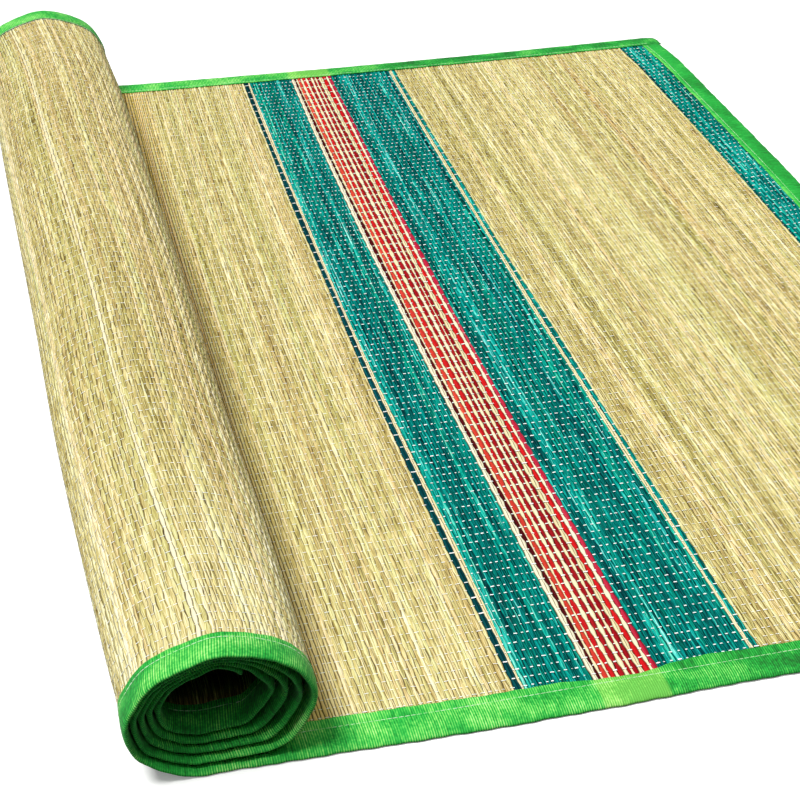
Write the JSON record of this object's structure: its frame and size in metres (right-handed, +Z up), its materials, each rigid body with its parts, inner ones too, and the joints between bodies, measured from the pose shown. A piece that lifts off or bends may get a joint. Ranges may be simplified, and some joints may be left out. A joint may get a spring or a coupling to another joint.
{
  "type": "grass floor mat",
  "caption": "Handwoven grass floor mat with striped ends, bound in green cloth tape on all edges, lying partly flat with the rest wound into a loose oval roll.",
  "frame": {"origin": "on the floor, under the middle of the bounding box", "axes": "+X from the roll towards the flat end, +Y along the roll from the near end to the far end, +Z up"},
  "size_m": [0.6716, 0.927, 0.0836],
  "materials": {
    "grass_weave": "woven split stalks, low sheen",
    "cotton_tape": "ribbed cotton, matte"
  },
  "bodies": {
    "root": {"grass_sheet": "grass_weave", "tape_near_edge": "cotton_tape", "tape_far_edge": "cotton_tape", "tape_flat_end": "cotton_tape", "tape_inner_end": "cotton_tape"}
  },
  "joints": []
}
